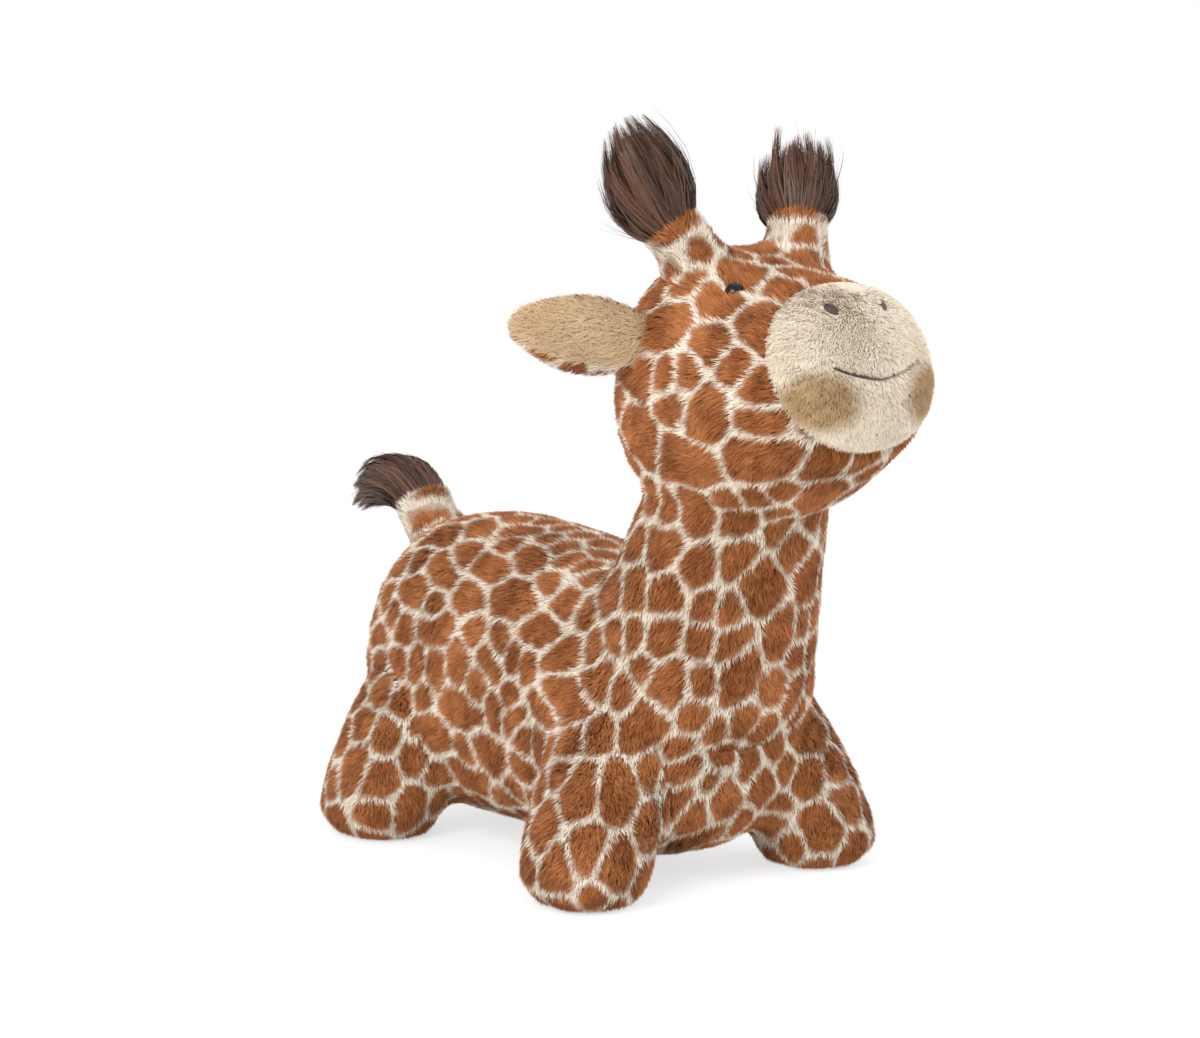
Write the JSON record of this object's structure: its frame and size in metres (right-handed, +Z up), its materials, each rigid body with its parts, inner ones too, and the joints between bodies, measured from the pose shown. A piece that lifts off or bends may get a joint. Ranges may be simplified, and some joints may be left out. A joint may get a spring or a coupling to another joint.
{
  "type": "plush bouncy hopper",
  "caption": "Inflatable ride-on hopper for a small child: a giraffe-patterned plush cover with stubby legs, ears, tufted horns and tail, zipped over an air bladder with a valve.",
  "frame": {"origin": "on the floor, under the middle of the bounding box", "axes": "+X to the animal's left, -Y to its front, +Z up"},
  "size_m": [0.3444, 0.6719, 0.5786],
  "materials": {
    "patterned_plush": "short pile, printed with brown patches and cream lines",
    "cream_plush": "short pile",
    "hair": "long straight pile",
    "stuffing": "loose fibre",
    "bladder": "semi-gloss",
    "valve": "moulded",
    "eye": "polished",
    "washer": "moulded",
    "thread": "satin stitch",
    "zip_tape": "woven",
    "zip_teeth": "moulded",
    "zip_metal": "antique nickel"
  },
  "bodies": {
    "body": {"torso_cover": "patterned_plush", "neck_cover": "patterned_plush", "head_cover": "patterned_plush", "muzzle_cover": "cream_plush", "leg_cover_front_left": "patterned_plush", "leg_cover_front_right": "patterned_plush", "leg_cover_rear_left": "patterned_plush", "leg_cover_rear_right": "patterned_plush", "sole_panel_front_left": "patterned_plush", "sole_panel_front_right": "patterned_plush", "sole_panel_rear_left": "patterned_plush", "sole_panel_rear_right": "patterned_plush", "air_bladder": "bladder", "valve_seat": "valve", "eye_left": "eye", "eye_right": "eye", "eye_washer_left": "washer", "eye_washer_right": "washer", "nostril_left": "thread", "nostril_right": "thread", "mouth": "thread", "zip_tape_left": "zip_tape", "zip_tape_right": "zip_tape", "zip_teeth_left": "zip_teeth", "zip_teeth_right": "zip_teeth", "zip_stop_front": "zip_metal", "zip_stop_rear": "zip_metal"},
    "left_ear": {"ear_lining_left": "cream_plush", "ear_back_left": "patterned_plush"},
    "right_ear": {"ear_lining_right": "cream_plush", "ear_back_right": "patterned_plush"},
    "left_horn": {"horn_stem_left": "patterned_plush", "horn_stuffing_left": "stuffing", "horn_tuft_left": "hair"},
    "right_horn": {"horn_stem_right": "patterned_plush", "horn_stuffing_right": "stuffing", "horn_tuft_right": "hair"},
    "tail": {"tail_stem": "patterned_plush", "tail_stuffing": "stuffing", "tail_tuft": "hair"},
    "zip_slider": {"zip_slider": "zip_metal"},
    "zip_pull": {"zip_pull": "zip_metal"},
    "valve_plug": {"valve_plug": "valve"}
  },
  "joints": [
    {"name": "left_ear_bend", "type": "hinge", "parent": "body", "child": "left_ear", "pos_m": [0.09156, -0.16429, 0.4267], "axis": [-0.1653, 0, 0.9862], "range_deg": [-35, 25], "stiffness_Nm_per_rad": 0.3},
    {"name": "right_ear_bend", "type": "hinge", "parent": "body", "child": "right_ear", "pos_m": [-0.09156, -0.16429, 0.4267], "axis": [-0.1653, 0, -0.9862], "range_deg": [-35, 25], "stiffness_Nm_per_rad": 0.3},
    {"name": "left_horn_bend", "type": "hinge", "parent": "body", "child": "left_horn", "pos_m": [0.05517, -0.17756, 0.49673], "axis": [0.9063, 0, -0.4226], "range_deg": [-25, 25], "stiffness_Nm_per_rad": 1.5},
    {"name": "right_horn_bend", "type": "hinge", "parent": "body", "child": "right_horn", "pos_m": [-0.05517, -0.17756, 0.49673], "axis": [0.9063, 0, 0.4226], "range_deg": [-25, 25], "stiffness_Nm_per_rad": 1.5},
    {"name": "tail_bend", "type": "hinge", "parent": "body", "child": "tail", "pos_m": [0, 0.22218, 0.23859], "axis": [1, 0, 0], "range_deg": [-30, 30], "stiffness_Nm_per_rad": 2},
    {"name": "zip_run", "type": "slide", "parent": "body", "child": "zip_slider", "axis": [0, 1, 0], "range_m": [0, 0.141]},
    {"name": "zip_pull_swing", "type": "hinge", "parent": "zip_slider", "child": "zip_pull", "pos_m": [0, -0.0707, 0.0183], "axis": [1, 0, 0], "range_deg": [-80, 80]},
    {"name": "valve_plug_pull", "type": "slide", "parent": "body", "child": "valve_plug", "axis": [0, 0, -1], "range_m": [0, 0.008]}
  ]
}
